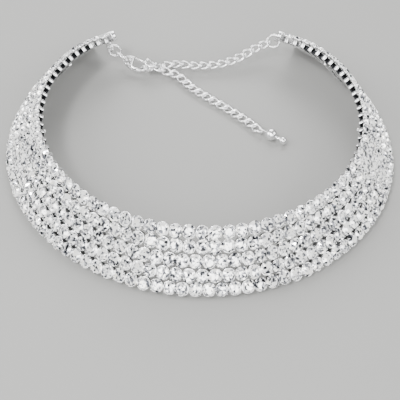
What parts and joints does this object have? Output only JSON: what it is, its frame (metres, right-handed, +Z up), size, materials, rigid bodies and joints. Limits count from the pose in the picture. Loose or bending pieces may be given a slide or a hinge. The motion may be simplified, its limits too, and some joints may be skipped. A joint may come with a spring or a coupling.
{
  "type": "choker necklace",
  "caption": "Rigid-looking rhinestone collar choker: a sloping band of stacked cup-set stone rows, closed behind by a lobster clasp and an extender chain with a bead drop.",
  "frame": {"origin": "middle of the bounding box at the level of the surface it lies on", "axes": "+Z up from the surface it lies on, -Y towards the front of the collar, +Y towards the open back, +X to the wearer's left side as seen from above"},
  "size_m": [0.1352, 0.1312, 0.0192],
  "materials": {
    "rhinestone": "clear foiled crystal in silver-plated cups",
    "silver_plate": "bright silver plate"
  },
  "bodies": {
    "choker": {"stone_row_1": "rhinestone", "stone_row_2": "rhinestone", "stone_row_3": "rhinestone", "stone_row_4": "rhinestone", "stone_row_5": "rhinestone", "brace_1": "silver_plate", "brace_2": "silver_plate", "brace_3": "silver_plate", "brace_4": "silver_plate", "brace_5": "silver_plate", "brace_6": "silver_plate", "brace_7": "silver_plate", "end_bar_left": "silver_plate", "end_bar_right": "silver_plate", "jump_ring_1": "silver_plate", "jump_ring_2": "silver_plate", "jump_ring_3": "silver_plate", "clasp_body": "silver_plate", "link_01": "silver_plate", "link_02": "silver_plate", "link_03": "silver_plate", "link_04": "silver_plate", "link_05": "silver_plate", "link_06": "silver_plate", "link_07": "silver_plate", "link_08": "silver_plate", "link_09": "silver_plate", "link_10": "silver_plate", "link_11": "silver_plate", "link_12": "silver_plate", "link_13": "silver_plate", "link_14": "silver_plate", "link_15": "silver_plate", "link_16": "silver_plate", "link_17": "silver_plate", "link_18": "silver_plate", "link_19": "silver_plate", "link_20": "silver_plate", "link_21": "silver_plate", "link_22": "silver_plate", "link_23": "silver_plate", "link_24": "silver_plate", "link_25": "silver_plate", "link_26": "silver_plate", "link_27": "silver_plate", "link_28": "silver_plate", "link_29": "silver_plate", "link_30": "silver_plate", "link_31": "silver_plate", "tail_drop": "silver_plate"},
    "clasp_lever": {"clasp_lever": "silver_plate"}
  },
  "joints": [
    {"name": "lever_open", "type": "hinge", "parent": "choker", "child": "clasp_lever", "pos_m": [-0.02287, 0.04776, 0.00574], "axis": [0.2805, 0.7681, -0.5757], "range_deg": [0, 10], "stiffness_Nm_per_rad": 0.000002}
  ]
}
